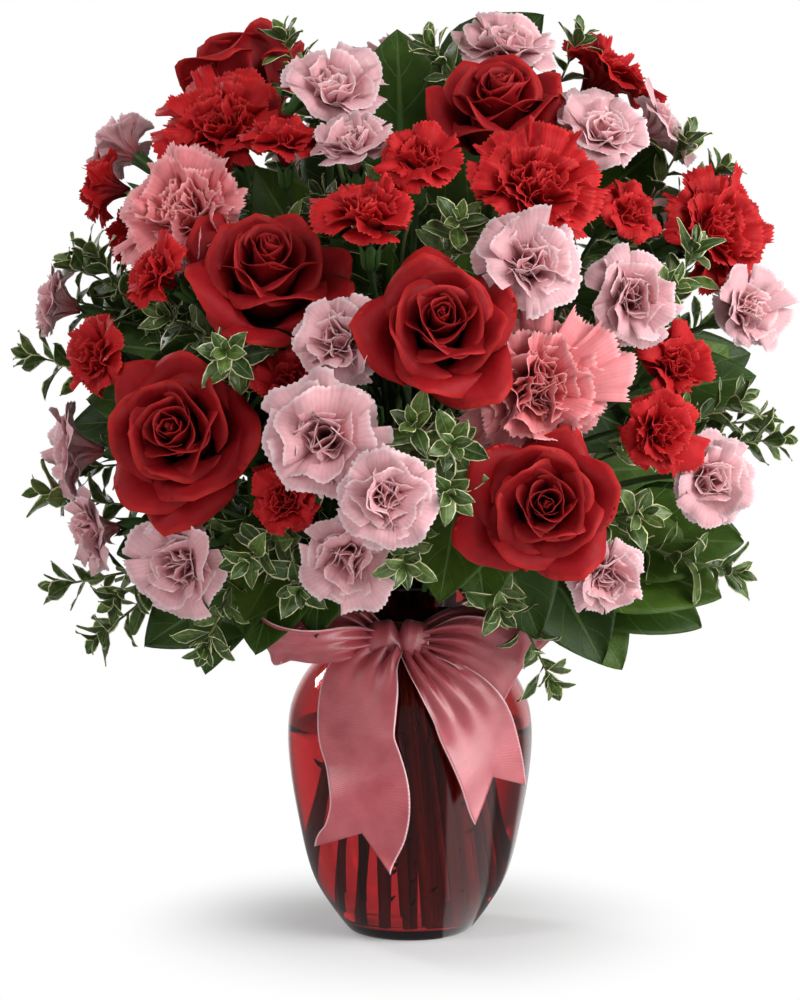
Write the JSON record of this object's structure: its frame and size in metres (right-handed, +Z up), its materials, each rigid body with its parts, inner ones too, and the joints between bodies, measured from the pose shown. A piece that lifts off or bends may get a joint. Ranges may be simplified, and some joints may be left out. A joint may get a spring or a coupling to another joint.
{
  "type": "rose bouquet in a vase",
  "caption": "Cut roses, carnations and spray carnations with leafy greenery, standing in a ruby glass vase tied with a ribbon bow.",
  "frame": {"origin": "centre of the vase's flat underside", "axes": "+Z up along the vase's axis; -Y is the front of the bouquet, where the bow is; +X is the viewer's right"},
  "size_m": [0.3491, 0.3287, 0.4408],
  "materials": {
    "ruby_glass": "gloss",
    "water": "gloss",
    "ribbon": "satin",
    "rose_petals": "matte",
    "red_carnation_petals": "matte",
    "pink_carnation_petals": "matte",
    "red_spray": "matte",
    "pink_spray": "matte",
    "stem": "matte",
    "salal_leaf": "satin",
    "pittosporum_leaf": "satin"
  },
  "bodies": {
    "root": {"vase": "ruby_glass", "water": "water", "ribbon_band": "ribbon", "bow_knot": "ribbon", "bow_loop_left": "ribbon", "bow_loop_right": "ribbon", "ribbon_tail_left": "ribbon", "ribbon_tail_right": "ribbon", "rose_1_bloom": "rose_petals", "rose_1_stem": "stem", "rose_2_bloom": "rose_petals", "rose_2_stem": "stem", "rose_3_bloom": "rose_petals", "rose_3_stem": "stem", "rose_4_bloom": "rose_petals", "rose_4_stem": "stem", "rose_5_bloom": "rose_petals", "rose_5_stem": "stem", "rose_6_bloom": "rose_petals", "rose_6_stem": "stem", "rose_7_bloom": "rose_petals", "rose_7_stem": "stem", "carnation_red_1_bloom": "red_carnation_petals", "carnation_red_1_stem": "stem", "carnation_red_2_bloom": "red_carnation_petals", "carnation_red_2_stem": "stem", "carnation_red_3_bloom": "red_carnation_petals", "carnation_red_3_stem": "stem", "carnation_red_4_bloom": "red_carnation_petals", "carnation_red_4_stem": "stem", "carnation_pink_1_bloom": "pink_carnation_petals", "carnation_pink_1_stem": "stem", "carnation_pink_2_bloom": "pink_carnation_petals", "carnation_pink_2_stem": "stem", "carnation_pink_3_bloom": "pink_carnation_petals", "carnation_pink_3_stem": "stem", "spray_pink_1": "pink_spray", "spray_pink_2": "pink_spray", "spray_pink_3": "pink_spray", "spray_pink_4": "pink_spray", "spray_pink_5": "pink_spray", "spray_pink_6": "pink_spray", "spray_pink_7": "pink_spray", "spray_pink_8": "pink_spray", "spray_pink_9": "pink_spray", "spray_red_1": "red_spray", "spray_red_2": "red_spray", "spray_red_3": "red_spray", "spray_red_4": "red_spray", "spray_red_5": "red_spray", "salal_1": "salal_leaf", "salal_2": "salal_leaf", "salal_3": "salal_leaf", "salal_4": "salal_leaf", "salal_5": "salal_leaf", "pittosporum_1": "pittosporum_leaf", "pittosporum_2": "pittosporum_leaf", "pittosporum_3": "pittosporum_leaf", "pittosporum_4": "pittosporum_leaf", "pittosporum_5": "pittosporum_leaf"}
  },
  "joints": []
}
